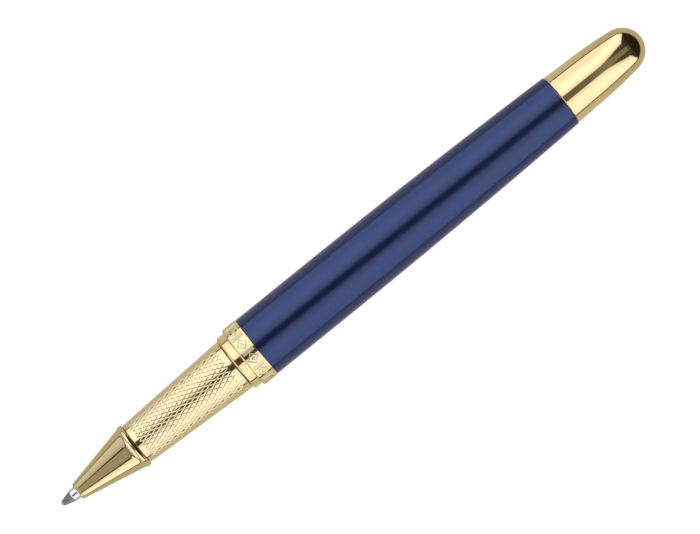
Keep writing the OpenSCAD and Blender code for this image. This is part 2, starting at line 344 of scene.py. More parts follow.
@dataclass(frozen=True)
class Fibre(Finish):
    """Bonded fibre, drawn along the pen, with strands to a millimetre and ink of the wet colour."""

    strands: float = 7.0
    wet: Colour = (0.02, 0.03, 0.12)

    def shade(self, bench: Bench) -> Sock:
        """Strands along the rod, with ink soaked in unevenly.

        Args:
            bench: the material's tree.

        Returns:
            The shader.
        """
        x, y, z = bench.place()
        strands = bench.noise(bench.vector(x * 0.12, y, z), self.strands, 3.0, 0.7)
        soaked = bench.noise(bench.vector(x * 0.3, y * 0.3, z * 0.3), 0.8)
        tint = bench.blend(soaked.rise(0.35, 0.65), self.colour, self.wet)
        tint = bench.blend(strands.rise(0.3, 0.7, 0.5), tint, toned(self.wet, 0.5))
        return bench.principled(Base_Color=tint, Roughness=self.roughness, Normal=bench.bump(strands, 0.05))


class Slot(Enum):
    """The record's material slots, each with its finish."""

    POLISHED_GOLD = Metal("polished_gold", (0.90, 0.71, 0.38), 0.07)
    GUILLOCHE_GOLD = Metal(
        "guilloche_gold", (0.90, 0.73, 0.42), 0.09, cut_colour=(0.89, 0.77, 0.49), cut_roughness=0.32
    )
    ENGRAVED_GOLD = Metal(
        "engraved_gold", (0.90, 0.72, 0.40), 0.07, cut_colour=(0.86, 0.76, 0.50), cut_roughness=0.45
    )
    NAVY_LACQUER = Lacquer("navy_lacquer", (0.004, 0.025, 0.135), 0.34)
    TURNED_BRASS = Metal("turned_brass", (0.80, 0.62, 0.30), 0.24, 18.0, 0.002, 0.08)
    POLISHED_STEEL = Metal(
        "polished_steel", (0.71, 0.71, 0.72), 0.11, 40.0, 0.0003, 0.05, (0.32, 0.32, 0.34), 0.3
    )
    REFILL_STEEL = Metal("refill_steel", (0.62, 0.63, 0.65), 0.26, 22.0, 0.001, 0.08)
    CARBIDE = Metal("carbide", (0.30, 0.30, 0.32), 0.16, 60.0, 0.0004, 0.08)
    SPRING_WIRE = Metal("spring_wire", (0.60, 0.61, 0.63), 0.22, 12.0, 0.001, 0.1)
    BLACK_PLASTIC = Moulded("black_plastic", (0.02, 0.02, 0.024), 0.45)
    GREY_PLASTIC = Moulded("grey_plastic", (0.22, 0.23, 0.25), 0.5)
    BLACK_RUBBER = Moulded("black_rubber", (0.014, 0.014, 0.014), 0.62, 22.0, 0.004, 0.3)
    INKED_FIBRE = Fibre("inked_fibre", (0.09, 0.10, 0.28), 0.85)
    WICK_FIBRE = Fibre("wick_fibre", (0.42, 0.42, 0.46), 0.8, 12.0)


# ---- Turned meshes ----


@dataclass(frozen=True)
class PenAxis:
    """The line that every part is turned about: the ball's foremost X and the height, in millimetres."""

    tip: float
    height: float

    @classmethod
    def found(cls) -> "PenAxis":
        """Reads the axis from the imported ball."""
        low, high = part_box("writing_ball")
        return cls(low.x / MM, (low.z + high.z) / 2 / MM)

    def metres(self, points: np.ndarray) -> np.ndarray:
        """Turns rows of radius, station and turn, in millimetres and radians, into places in metres."""
        r, x, turn = points[..., 0], points[..., 1], points[..., 2]
        return MM * np.stack([x + self.tip, r * np.sin(turn), self.height - r * np.cos(turn)], -1)


AXIS = PenAxis.found()


class Packed(NamedTuple):
    """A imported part's place: the stations where it starts and ends, and its largest radius."""

    start: float
    end: float
    outer: float


def packed(node: str) -> Packed:
    """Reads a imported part's place, in millimetres."""
    low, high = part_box(node)
    return Packed(low.x / MM - AXIS.tip, high.x / MM - AXIS.tip, (high.y - low.y) / 2 / MM)


def arc(centre: Corner, radius: float, first: float, last: float, steps: int) -> Outline:
    """Points of an arc. Its angles are in degrees, 0 outward and 90 towards the dome."""
    angles = np.radians(np.linspace(first, last, steps + 1))
    return [(centre[0] + radius * math.cos(a), centre[1] + radius * math.sin(a)) for a in angles]


def curve(start: Corner, leave: Corner, end: Corner, arrive: Corner, steps: int) -> Outline:
    """Points of a cubic curve.

    Args:
        start: where it starts.
        leave: how it leaves its start.
        end: where it ends.
        arrive: how it arrives there.
        steps: how many steps it takes.

    Returns:
        The points in order.
    """
    a, b = np.array(start), np.array(end)
    a1, b1 = a + np.array(leave), b - np.array(arrive)
    t = np.linspace(0, 1, steps + 1)[:, None]
    made = a * (1 - t) ** 3 + 3 * a1 * t * (1 - t) ** 2 + 3 * b1 * t**2 * (1 - t) + b * t**3
    return [tuple(p) for p in made]


def notches(radius: float, starts: Iterable[float], depth: float, side: float, length: float) -> Outline:
    """Grooves with sloping sides that start at the stations given. A negative depth makes ribs."""
    shape = ((0.0, 0.0), (depth, side), (depth, length - side), (0.0, length))
    return [(radius - deep, x + along) for x in starts for deep, along in shape]


def eased(corners: Sequence[Corner], reach: float, steps: int = 3, least: float = 12.0) -> Outline:
    """Rounds the corners of a closed outline, as a lathe hand breaks an edge.

    Args:
        corners: the outline's points.
        reach: how far from a corner its rounding starts, at most, in millimetres.
        steps: steps in each rounding.
        least: corners that turn by less than this many degrees stay as they are.

    Returns:
        The rounded outline.
    """
    made: Outline = []
    pts = [np.array(c, float) for c in corners]
    for k, here in enumerate(pts):
        before, after = pts[k - 1] - here, pts[(k + 1) % len(pts)] - here
        far, near = np.linalg.norm(before), np.linalg.norm(after)
        turn = math.degrees(math.acos(float(np.clip(-before @ after / (far * near), -1, 1))))
        if turn < least or here[0] < 1e-6:
            made.append(tuple(here))
            continue
        cut = min(reach, 0.4 * far, 0.4 * near)
        first, last = here + before / far * cut, here + after / near * cut
        for t in np.linspace(0, 1, steps + 1):
            made.append(tuple(first * (1 - t) ** 2 + 2 * here * t * (1 - t) + last * t**2))
    return made


def divided(outline: Sequence[Corner], places: Callable[[float], Iterable[float]], closed: bool = True) -> Outline:
    """Adds points along the edges of an outline.

    Args:
        outline: the outline's points.
        places: gives an edge's new points, as shares of the edge, from its length.
        closed: whether the outline's last point joins its first.

    Returns:
        The outline with the points added.
    """
    pts = [np.array(p, float) for p in outline]
    made: Outline = []
    for k, here in enumerate(pts):
        made.append(tuple(here))
        if closed or k < len(pts) - 1:
            edge = pts[(k + 1) % len(pts)] - here
            made += [tuple(here + edge * t) for t in places(float(np.linalg.norm(edge)))]
    return made


def stretched(outline: Sequence[Corner], longest: float) -> Outline:
    """Divides edges longer than the longest allowed, so that faces stay near square."""
    return divided(outline, lambda long: np.linspace(0, 1, max(1, math.ceil(long / longest)) + 1)[1:-1])


def braced(outline: Sequence[Corner], closed: bool = True, reach: float = 0.03) -> Outline:
    """Adds a point close to each end of the long edges, so that flat runs look flat up to their corners."""
    return divided(outline, lambda long: (reach / long, 1 - reach / long) if long > 4 * reach else (), closed)


def stand(name: str, data: Union[bpy.types.Mesh, bpy.types.Camera]) -> bpy.types.Object:
    """Puts a new object in the scene.

    Args:
        name: its name.
        data: its mesh or camera.

    Returns:
        The object.
    """
    made = bpy.data.objects.new(name, data)
    bpy.context.scene.collection.objects.link(made)
    return made


class Shell:
    """The skin of one piece as it is put together, in (radius, station, turn) points."""

    def __init__(self) -> None:
        """Starts with no points and no faces."""
        self.points: list[np.ndarray] = []
        self.cuts: list[np.ndarray] = []
        self.faces: list[tuple[int, ...]] = []
        self.count = 0

    def add(self, points: np.ndarray, cuts: Optional[np.ndarray] = None) -> int:
        """Adds points.

        Args:
            points: an array whose last axis is radius, station and turn.
            cuts: how deep in a cut each point is, 0 to 1.

        Returns:
            The number of the first one.
        """
        flat = points.reshape(-1, 3)
        first, self.count = self.count, self.count + len(flat)
        self.points.append(flat)
        self.cuts.append(np.zeros(len(flat)) if cuts is None else cuts.reshape(-1))
        return first

    def join(self, first: int, second: int, around: int) -> None:
        """Covers the space between two rings of points.

        Args:
            first: the number of the first ring's first point.
            second: the number of the second ring's.
            around: points in a ring.
        """
        for i in range(around):
            n = (i + 1) % around
            self.faces.append((first + i, first + n, second + n, second + i))

    def revolve(
        self, outline: Sequence[Corner], segments: int = 128,
        sunk: Optional[np.ndarray] = None, depth: float = 0.0, closed: bool = True,
    ) -> "Shell":
        """Turns an outline about the axis.

        Args:
            outline: its (radius, station) points.
            segments: faces in a turn.
            sunk: how far each point is cut in, 0 to 1, by outline point and segment.
            depth: the depth in millimetres that 1 stands for.
            closed: whether the outline's last point joins its first.

        Returns:
            The shell itself.
        """
        line = np.array(outline if sunk is not None else braced(outline, closed), float)
        turns = np.arange(segments) * FULL_TURN / segments
        radius = line[:, :1] if sunk is None else line[:, :1] - depth * sunk
        first = self.add(np.stack(np.broadcast_arrays(radius, line[:, 1:], turns), -1), sunk)
        for j in range(len(line) if closed else len(line) - 1):
            k = (j + 1) % len(line)
            if line[j, 0] < 1e-9 and line[k, 0] < 1e-9:
                continue
            here, there = first + j * segments, first + k * segments
            if sunk is None or not (sunk[j].any() or sunk[k].any()):
                self.join(here, there, segments)
                continue
            # Each face is split along the diagonal that the cut's edge follows.
            a, d = sunk[j], sunk[k]
            b, c = np.roll(a, -1), np.roll(d, -1)
            lean = np.abs(b - d) - np.abs(a - c)
            lean = np.where(np.abs(lean) < 1e-9, (a + c) - (b + d), lean)
            for i in range(segments):
                n = (i + 1) % segments
                p, q, r, s = here + i, here + n, there + n, there + i
                if lean[i] > 1e-9:
                    self.faces += [(p, q, r), (p, r, s)]
                elif lean[i] < -1e-9:
                    self.faces += [(p, q, s), (q, r, s)]
                else:
                    self.faces.append((p, q, r, s))
        return self

    def wind(
        self, start: float, end: float, pitch: float, section: Sequence[Corner],
        root: float, first: float, last: float, fade: float, segments: int = 96,
    ) -> "Shell":
        """Covers a stretch of the axis with a screw thread.

        Args:
            start: station where the stretch starts.
            end: station where it ends.
            pitch: advance in one turn.
            section: one ridge or groove, as (radius, offset along the axis), offsets rising.
            root: radius that the thread fades into at its ends.
            first: station at which the thread's centre line starts.
            last: station at which it ends.
            fade: turns over which it runs out.
            segments: faces in a turn.

        Returns:
            The shell itself.
        """
        turns = np.arange(segments) * FULL_TURN / segments
        rows = []
        for q in range(math.floor(start / pitch) - 2, math.ceil(end / pitch) + 2):
            centre = (turns / FULL_TURN + q) * pitch
            inside = np.clip(np.minimum(centre - first, last - centre) / (fade * pitch), 0, 1)
            for radius, offset in section:
                x = np.clip(centre + offset, start, end)
                r = np.where((x <= start) | (x >= end), root, root + (radius - root) * inside)
                rows.append(np.stack([r, x, turns], -1))
        grid = np.array(rows)
        begin = self.add(grid)
        for j in range(len(rows) - 1):
            for i in range(segments):
                # After one turn, a row meets the row one pitch further on.
                shift = len(section) if i == segments - 1 else 0
                if j + shift + 1 >= len(rows):
                    continue
                n = (i + 1) % segments
                ring = [(j, i), (j + shift, n), (j + shift + 1, n), (j + 1, i)]
                if len({round(float(grid[p][1]), 6) for p in ring}) > 1:
                    self.faces.append(tuple(begin + row * segments + turn for row, turn in ring))
        return self

    def piece(self, node: str, body: str, slot: Slot, sharp: float = 28.0) -> bpy.types.Object:
        """Makes the piece, dresses it and joins it to its body.

        Args:
            node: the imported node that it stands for.
            body: the body that it rides on.
            slot: its material slot.
            sharp: edges that bend by more than this many degrees stay crisp.

        Returns:
            The piece.
        """
        mesh = bpy.data.meshes.new(f"{node}_fine")
        mesh.from_pydata(AXIS.metres(np.concatenate(self.points)).tolist(), [], self.faces)
        cuts = mesh.attributes.new(CUT, "FLOAT", "POINT")
        cuts.data.foreach_set("value", np.concatenate(self.cuts).astype(np.float32))
        work = bmesh.new()
        work.from_mesh(mesh)
        bmesh.ops.remove_doubles(work, verts=work.verts, dist=2e-7)
        bmesh.ops.dissolve_degenerate(work, edges=work.edges, dist=1e-8)
        bmesh.ops.delete(work, geom=[v for v in work.verts if not v.link_faces], context="VERTS")
        bmesh.ops.recalc_face_normals(work, faces=work.faces)
        work.to_mesh(mesh)
        work.free()
        mesh.polygons.foreach_set("use_smooth", [True] * len(mesh.polygons))
        mesh.set_sharp_from_angle(angle=math.radians(sharp))
        mesh.materials.append(slot.value.material())
        made = stand(mesh.name, mesh)
        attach(made, body)
        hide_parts(node)
        log.info("%s: %d points, %d faces, on %s", made.name, len(mesh.vertices), len(mesh.polygons), body)
        return made


# ---- The section ----


@dataclass
class Thread:
    """The screw thread between section and barrel, in millimetres."""

    pitch: float = 0.75
    crest: float = 4.23
    height: float = 0.4
    flat: float = 0.11
    flank: float = math.tan(math.radians(30))
    female_gap: float = 0.07
    female_play: float = 0.04
    turns: int = 6
    broken: float = 0.03
    wall: float = 1.2

    @property
    def root(self) -> float:
        """Radius at the foot of the male thread."""
        return self.crest - self.height

    def start(self) -> float:
        """Station of the bush's wall, where the thread starts."""
        return packed("cap_stop_collar").start + self.wall

    def male(self) -> Outline:
        """The ridge's section, with its corners just broken."""
        top, foot, ease = self.flat / 2, self.flat / 2 + self.height * self.flank, self.broken
        rising = [
            (self.root, -foot), (self.root + ease, -foot + ease * self.flank),
            (self.crest - ease, -top - ease * self.flank), (self.crest, -top + ease / 2),
        ]
        return [(self.root, -self.pitch / 2)] + rising + [(r, -x) for r, x in rising[::-1]]

    def female(self, inner: float) -> Outline:
        """The groove's section, cut from a bore of radius inner."""
        crest, top = self.crest + self.female_gap, self.flat / 2 + self.female_play
        foot = top + (crest - inner) * self.flank
        return [(inner, -self.pitch / 2), (inner, -foot), (crest, -top), (crest, top), (inner, foot)]


@dataclass
class Section:
    """The part held while writing: nose cone, cut grip, threaded core and its sealing ring."""

    thread: Thread
    bore: float = 3.12
    spigot: float = 3.52
    core: float = 3.7
    fit: float = 0.01
    point_bore: float = 1.27
    lip_end: float = 0.45
    lip_radius: float = 1.7
    cone_end: float = 14.83
    cone_radius: float = 3.98
    bead_station: float = 16.18
    bead_size: float = 0.62
    seat: float = 12.98
    grip_front: float = 4.03
    shoulder: float = 4.3
    shoulder_len: float = 1.5
    diamonds_round: int = 34
    diamond_steps: int = 12
    diamond_len: float = 1.725
    lattice_start: float = 17.85
    lattice_rows: int = 138
    groove: tuple[float, float] = (1.0, 0.6)
    groove_depth: float = 0.038

    def nose_cone(self) -> None:
        """The polished cone: rounded lip, straight flank, hollow flare and bead."""
        front, _, crest = packed("nose_cone")
        grip, lip, bead = packed("grip_sleeve").start, front + self.lip_end, math.radians(35)
        rise, run = self.cone_radius - self.lip_radius, self.cone_end - lip
        slope, socket, spigot = rise / run, grip - 2.5, self.spigot + self.fit
        foot = (crest - self.bead_size * (1 - math.cos(bead)), self.bead_station - self.bead_size * math.sin(bead))
        outline = curve((self.point_bore + 0.16, front), (0.18, 0), (self.lip_radius, lip), (0.2 * slope, 0.2), 14)
        outline += [(self.lip_radius - 0.02, lip + 0.04), (self.lip_radius + 0.09 * slope, lip + 0.09)]
        outline += [(self.lip_radius + rise * t, lip + run * t) for t in np.linspace(0, 1, 24)[1:-1]]
        outline += curve((self.cone_radius, self.cone_end), (slope * 0.3, 0.3), foot, (0.26, 0.31), 28)
        outline += arc((crest - self.bead_size, self.bead_station), self.bead_size, -30, 75, 22)
        inside = [
            (spigot, grip - 0.06), (spigot, socket), (self.bore, socket), (self.bore, self.seat), (2.7, self.seat),
            (1.86, front + 1.95), (self.point_bore, front + 1.95), (self.point_bore, front + 0.08),
        ]
        Shell().revolve(outline + inside, 256).piece("nose_cone", "section", Slot.POLISHED_GOLD)

    def grip_sleeve(self) -> None:
        """The tapered sleeve, with two crossing families of grooves that leave small diamonds."""
        start, end, back = packed("grip_sleeve")
        edge, inner, wide = 0.12, self.core + self.fit, self.shoulder + self.fit
        slope, seat = (back - self.grip_front) / (end - start - 2 * edge), end - self.shoulder_len - self.fit

        def flank(x: float) -> Corner:
            """The cone's point at a station."""
            return self.grip_front + slope * (x - start - edge), x

        step = self.diamond_len / self.diamond_steps
        places = np.arange(-1, self.lattice_rows + 2)
        before = [(inner + 0.05, start), (self.grip_front - 0.05, start), (self.grip_front - 0.015, start + 0.015)]
        before += [flank(start + x) for x in (0.05, 0.1, 0.45)]
        cells = [flank(self.lattice_start + float(j) * step) for j in places]
        after = [flank(end - x) for x in (0.5, edge + 0.05, edge)] + [(back - 0.035, end - 0.035)]
        after += [(back - edge, end), (wide + 0.05, end), (wide, end - 0.05), (wide, seat), (inner, seat)]
        outline = before + cells + after + [(inner, start + 0.05)]
        segments, half = self.diamonds_round * self.diamond_steps, self.diamond_steps // 2
        sunk = np.zeros((len(outline), segments))
        rows = sunk[len(before):len(before) + len(cells)]
        i, j = np.arange(segments)[None, :], places[:, None]
        for family in (i - j, i + j):
            off = np.abs((family + half) % self.diamond_steps - half)
            for steps, deep in enumerate(self.groove):
                np.maximum(rows, deep * (off == steps), out=rows)
        rows[0] = rows[-1] = 0.0
        shell = Shell().revolve(outline, segments, sunk, self.groove_depth)
        shell.piece("grip_sleeve", "section", Slot.GUILLOCHE_GOLD, 24.0)

    def section_core(self) -> None:
        """The brass core: spigot, barrel of the grip, neck, male thread and pilot."""
        start, end, _ = packed("section_core")
        grip, grip_end, _ = packed("grip_sleeve")
        wall, pitch, root = self.thread.start(), self.thread.pitch, self.thread.root
        neck, thread_end, pilot = wall + 0.25, wall + self.thread.turns * pitch, root - 0.2
        first, last, seat = neck + 0.02, thread_end + 0.18, grip_end - self.shoulder_len
        front = eased(
            [
                (self.bore, start), (self.spigot, start), (self.spigot, grip), (self.core, grip),
                (self.core, seat), (self.shoulder, seat), (self.shoulder, grip_end), (self.core, grip_end),
                (self.core, neck), (root, first),
            ], 0.04,
        )[4:-4]
        rear = [
            (root, last), (root, thread_end + 0.2), (pilot, thread_end + 0.4), (pilot, end - 0.3),
            (pilot - 0.08, end - 0.12), (pilot - 0.3, end), (self.bore + 0.06, end), (self.bore, end - 0.06),
            (self.bore, start + 0.06), (self.bore + 0.06, start),
        ]
        shell = Shell().revolve(rear + front + [(root, first)], 96, closed=False)
        shell.wind(first, last, pitch, self.thread.male(), root, neck + pitch / 2, thread_end - pitch / 2, 0.25)
        shell.piece("section_core", "section", Slot.TURNED_BRASS, 22.0)

    def neck_o_ring(self) -> None:
        """The rubber ring, with the fine flash line that its mould leaves inside and outside."""
        start, end, outer = packed("neck_o_ring")
        size, steps, flash = (end - start) / 2, 40, 0.012
        loop = arc((outer - size, start + size), size, 0, 360, steps)[:-1]
        for k, shift in ((0, flash), (steps // 2, -flash)):
            loop[k] = (loop[k][0] + shift, loop[k][1])
        Shell().revolve(loop, 160).piece("neck_o_ring", "seal_ring", Slot.BLACK_RUBBER, 60.0)

    def build(self) -> None:
        """Makes the section's pieces."""
        self.nose_cone()
        self.grip_sleeve()
        self.section_core()
        self.neck_o_ring()


# ---- The barrel ----


@dataclass(frozen=True)
class Motif:
    """The band's engraving, in steps of its grid: nested lozenges, given by their half sizes, and paired bars."""

    repeats: int = 12
    steps: int = 60
    lozenge: int = 21
    ring: int = 6
    heart: int = 7
    bar: int = 5
    gap: int = 3

    def cut(self, rows: int) -> np.ndarray:
        """Where the band is cut.

        Args:
            rows: points across the band.

        Returns:
            1 where it is cut and 0 where not, by row and by step round the band.
        """
        u = np.arange(self.repeats * self.steps)[None, :] % self.steps
        v = np.abs(np.arange(rows)[:, None] - rows // 2)
        away = np.abs(u - self.lozenge - 1) + v
        outline = (away <= self.lozenge) & (away > self.lozenge - self.ring)
        first = self.steps - 2 * self.bar - self.gap
        in_bar = (u >= first) & (u < first + self.bar) | (u >= self.steps - self.bar)
        return (outline | (away <= self.heart) | in_bar & (v <= self.lozenge)).astype(float)


@dataclass
class Barrel:
    """The rear of the pen: collar, band, lacquered tube, dome and what they hold."""

    thread: Thread
    bush_radius: float = 4.95
    fit: float = 0.01
    ring_bore: float = 4.66
    wall: float = 0.55
    straight: float = 14.2
    back_radius: float = 5.06
    seat_len: float = 8.0
    seat_radius: float = 4.48
    engraving: Motif = Motif()
    engraving_depth: float = 0.035
    stud: float = 3.95
    cup_bore: float = 3.45
    dome_skirt: float = 6.0
    dome_end: float = 3.7
    dome_side: float = 80.0

    def taper(self) -> tuple[float, float, float]:
        """Where the tube's long curve starts and ends, and its radius of curvature."""
        start, end, outer = packed("barrel_tube")
        bend = start + self.straight
        return bend, end, (end - bend) ** 2 / (2 * (outer - self.back_radius))

    def tube_radius(self, x: float) -> float:
        """The tube's outer radius at a station."""
        bend, _, arc_radius = self.taper()
        return packed("barrel_tube").outer - max(0.0, x - bend) ** 2 / (2 * arc_radius)

    def thread_bush(self) -> None:
        """The brass bush in the barrel's mouth, with its female thread."""
        front, rear, bore = packed("thread_bush")
        barrel, wall, pitch = packed("barrel_tube").start, self.thread.start(), self.thread.pitch
        minor, relief, pocket = self.thread.root + 0.08, self.thread.crest + 0.12, wall - 0.4
        wall_end = wall + self.thread.turns * pitch + 1.2
        body = eased(
            [
                (self.ring_bore, front), (self.bush_radius, front), (self.bush_radius, barrel), (bore, barrel),
                (bore, rear - 0.4), (bore - 0.4, rear), (relief, rear), (relief, wall_end),
            ], 0.05,
        )
        mouth = [(self.ring_bore, pocket), (minor + 0.25, pocket), (minor, wall)]
        shell = Shell().revolve([(minor, wall_end)] + body[::-1] + mouth, 96, closed=False)
        shell.wind(wall, wall_end, pitch, self.thread.female(minor), minor, wall - pitch, wall_end + pitch, 0.1)
        shell.piece("thread_bush", "barrel", Slot.TURNED_BRASS, 22.0)

    def cap_stop_collar(self) -> None:
        """The narrow polished ring that the cap stops on."""
        start, end, outer = packed("cap_stop_collar")
        inner, front, back = self.bush_radius + self.fit, 0.36, 0.04
        outline = [(inner, start + back), (inner + back, start)]
        outline += arc((outer - front, start + front), front, -90, 0, 14)
        outline += arc((outer - back, end - back), back, 0, 90, 4) + [(inner, end)]
        Shell().revolve(outline, 256).piece("cap_stop_collar", "barrel", Slot.POLISHED_GOLD)

    def engraved_band(self) -> None:
        """The widest ring, with its frosted engraving all the way round."""
        start, end, outer = packed("engraved_band")
        inner, front, back = self.bush_radius + self.fit, 0.3, 0.03
        around = self.engraving.repeats * self.engraving.steps
        step = FULL_TURN * outer / around
        flat = np.arange(start + front + 0.02, end - back - 0.02, step)
        outline = arc((outer - front, start + front), front, -90, 0, 12)
        before = len(outline)
        outline += [(outer, float(x)) for x in flat]
        outline += arc((outer - back, end - back), back, 0, 90, 5) + [(inner, end), (inner, start)]
        sunk = np.zeros((len(outline), around))
        shift = int(round(((flat[0] + flat[-1]) / 2 - (start + end) / 2) / step))
        sunk[before:before + len(flat)] = np.roll(self.engraving.cut(len(flat)), -shift, 0)
        shell = Shell().revolve(outline, around, sunk, self.engraving_depth)
        shell.piece("engraved_band", "barrel", Slot.ENGRAVED_GOLD, 30.0)

    def barrel_tube(self) -> None:
        """The lacquered tube: straight, then one long arc to the dome."""
        start, end, outer = packed("barrel_tube")
        end += 0.08
        edge, rear, seat = 0.1, 0.04, end - self.seat_len
        outline = arc((outer - edge, start + edge), edge, -90, 0, 5)
        outline += [(self.tube_radius(x), x) for x in np.linspace(start + 1.5, end - rear, 72)]
        outline += arc((self.back_radius - rear, end - rear), rear, 0, 90, 5)[1:]
        outline += [(self.seat_radius, end), (self.seat_radius, seat)]
        outline += [(self.tube_radius(x) - self.wall, x) for x in np.linspace(seat - 1.0, self.taper()[0], 40)]
        outline += [(outer - self.wall, start)]
        Shell().revolve(outline, 256).piece("barrel_tube", "barrel", Slot.NAVY_LACQUER)

    def barrel_liner(self) -> None:
        """The plastic guide sleeve, with a foot, ribs and a mouth that leads the refill in."""
        start, end, outer = packed("barrel_liner")
        bore, sleeve, foot, pitch = 3.4, 4.0, 1.2, 8.0
        corners = [(bore + 0.2, start), (outer, start), (outer, start + foot), (sleeve, start + foot)]
        corners += notches(sleeve, np.arange(start + pitch, end - pitch / 2, pitch) - 0.5, -0.18, 0.2, 1.0)
        corners += [(sleeve, end), (bore, end), (bore, start + 0.2)]
        Shell().revolve(stretched(eased(corners, 0.08), 2.0)).piece("barrel_liner", "barrel", Slot.BLACK_PLASTIC)

    def end_bush(self) -> None:
        """The brass ring that grips the dome's stud, with two glue grooves."""
        start, end, outer = packed("end_bush")
        inner = self.stud + self.fit
        corners = [(inner, start), (outer - 0.2, start), (outer, start + 0.2)]
        corners += notches(outer, (start + 2.3, start + 4.8), 0.12, 0.12, 0.62) + [(outer, end), (inner, end)]
        Shell().revolve(eased(corners, 0.04), 160).piece("end_bush", "barrel", Slot.TURNED_BRASS)

    def end_dome(self) -> None:
        """The polished dome: bright chamfer, nearly straight skirt, long side curve and rounded end."""
        start, end, wide = packed("end_dome")
        bend, tube_end, arc_radius = self.taper()
        front, cup_end, slope = tube_end + 0.15, packed("spring_cup").end, (tube_end - bend) / arc_radius
        curve_from, tip_from = front + self.dome_skirt, end - self.dome_end

        def side(x: float) -> Corner:
            """The dome's point at a station of its side."""
            return wide - slope * (x - front) - max(0.0, x - curve_from) ** 2 / (2 * self.dome_side), x

        # The end is part of an ellipse that leaves the side at the side's own slope.
        tip, _ = side(tip_from)
        drop = (slope + (tip_from - curve_from) / self.dome_side) * self.dome_end
        lean = math.asin(drop / (tip - drop))
        long, broad = self.dome_end / (1 - math.sin(lean)), tip / math.cos(lean)
        outline = [(self.cup_bore, start), (self.stud - 0.15, start), (self.stud, start + 0.15), (self.stud, front)]
        outline += [(wide - 0.1, front), side(front + 0.2)]
        outline += [side(x) for x in np.linspace(front + 0.5, tip_from, 48)]
        turns = np.linspace(lean, math.pi / 2, 40)[1:-1]
        outline += [(broad * math.cos(a), end - long + long * math.sin(a)) for a in turns]
        outline += [(0.0, end), (0.0, cup_end + 0.65), (self.cup_bore, cup_end + 0.05)]
        Shell().revolve(outline, 256).piece("end_dome", "barrel", Slot.POLISHED_GOLD)

    def spring_cup(self) -> None:
        """The plastic cup behind the refill."""
        start, end, outer = packed("spring_cup")
        inner, floor, vent = outer - 0.34, end - 0.45, 0.8
        corners = [
            (inner + 0.15, start), (outer - 0.05, start), (outer, start + 0.1), (outer, end), (vent, end),
            (vent, floor), (inner, floor), (inner, start + 0.3),
        ]
        Shell().revolve(stretched(eased(corners, 0.06), 1.0)).piece("spring_cup", "barrel", Slot.GREY_PLASTIC)

    def refill_spring(self) -> None:
        """The steel spring, with closed coils at both ends, that presses the refill forward."""
        start, end, _ = packed("refill_spring")
        wire, coil, closed, turns, per_turn, sides = 0.2, 2.7, 1.0, 8.0, 64, 16
        lift, top = closed * (2 * wire + 0.03), (end - start) - 2 * wire
        t = np.arange(int(turns * per_turn) + 1) / per_turn
        height = np.interp(t, (0, closed, turns - closed, turns), (0, lift, top - lift, top))[:, None]
        round_wire = np.arange(sides) * FULL_TURN / sides
        radius, station = coil + wire * np.cos(round_wire), start + wire + height + wire * np.sin(round_wire)
        shell = Shell()
        shell.add(np.stack(np.broadcast_arrays(radius, station, FULL_TURN * t[:, None]), -1))
        last = (len(t) - 1) * sides
        for first in range(0, last, sides):
            shell.join(first, first + sides, sides)
        shell.faces += [tuple(range(sides)), tuple(range(last, last + sides))]
        spring = shell.piece("refill_spring", "barrel", Slot.SPRING_WIRE, 40.0)
        anchor = AXIS.metres(np.array([0.0, end, 0.0]))
        travel = next(j for j in frame["joints"] if j["name"] == "refill_push")["range_m"][1]
        keep = 1.0 - travel / ((end - start) * MM)
        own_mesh(spring)

    def build(self) -> None:
        """Makes the barrel's pieces."""
        self.thread_bush()
        self.cap_stop_collar()
        self.engraved_band()
        self.barrel_tube()
        self.barrel_liner()
        self.end_bush()
        self.end_dome()
        self.spring_cup()
        self.refill_spring()


# ---- The refill ----


